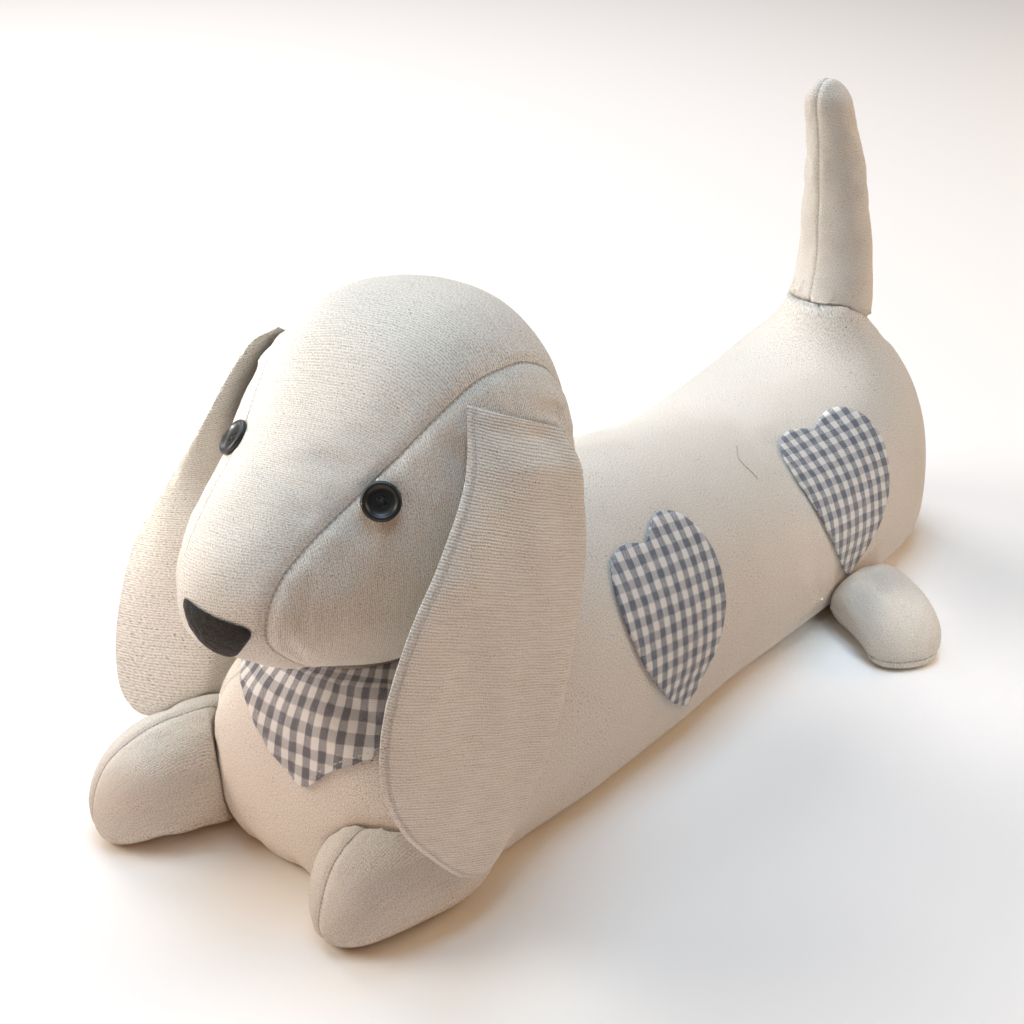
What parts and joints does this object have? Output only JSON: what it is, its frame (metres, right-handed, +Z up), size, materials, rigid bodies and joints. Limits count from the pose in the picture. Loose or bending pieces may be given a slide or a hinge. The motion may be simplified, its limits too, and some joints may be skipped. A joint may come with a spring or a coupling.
{
  "type": "draught excluder",
  "caption": "Stuffed draught excluder shaped as a lying long-eared dog with an upright tail, short paws, button eyes, a gingham bandana and gingham hearts on its flank.",
  "frame": {"origin": "on the floor, under the middle of the dog's bounding box", "axes": "+Y along the dog from nose to rump, +X towards its left flank, +Z up"},
  "size_m": [0.331, 0.6375, 0.331],
  "materials": {
    "canvas": "natural ecru cotton and linen canvas, fine rib, dark flecks",
    "gingham": "blue-grey and white woven check cotton",
    "felt": "charcoal wool felt, hairy",
    "button": "black, lightly worn gloss"
  },
  "bodies": {
    "root": {"body": "canvas", "head": "canvas", "ear_left": "canvas", "ear_right": "canvas", "paw_front_left": "canvas", "paw_front_right": "canvas", "paw_hind_left": "canvas", "paw_hind_right": "canvas", "tail": "canvas", "bandana": "gingham", "heart_front": "gingham", "heart_rear": "gingham", "nose": "felt", "eye_left": "button", "eye_right": "button"}
  },
  "joints": []
}
